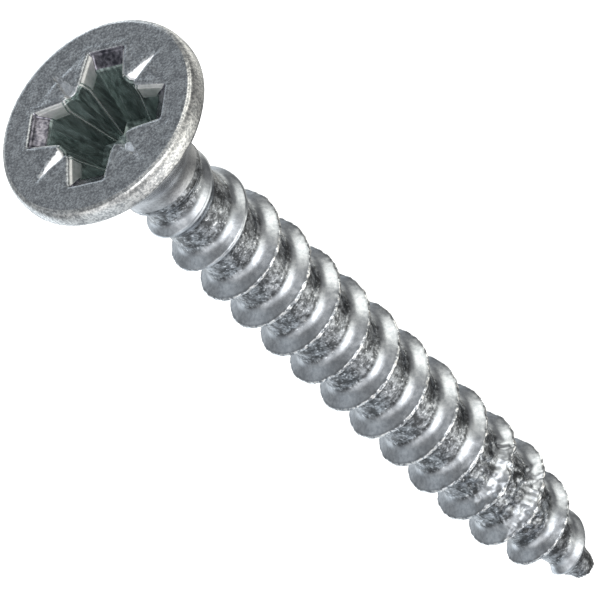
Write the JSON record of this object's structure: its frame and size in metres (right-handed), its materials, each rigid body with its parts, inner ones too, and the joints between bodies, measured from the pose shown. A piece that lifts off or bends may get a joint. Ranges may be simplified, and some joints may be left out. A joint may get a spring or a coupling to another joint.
{
  "type": "wood screw",
  "caption": "Countersunk wood screw with a type Z cross recess and a coarse right-hand thread up to the head, ending in a gimlet point.",
  "frame": {"origin": "on the screw's axis, in the plane of the flat head face", "axes": "+Z along the axis out of the head face, so the point is straight down; the wings of the recess lie along X and Y"},
  "size_m": [0.0076, 0.0076, 0.031],
  "materials": {
    "zinc_plated_steel": "bright zinc plating, smooth on the flanks and finely pitted in the thread roots and on the head face"
  },
  "bodies": {
    "root": {"wood_screw": "zinc_plated_steel"}
  },
  "joints": []
}
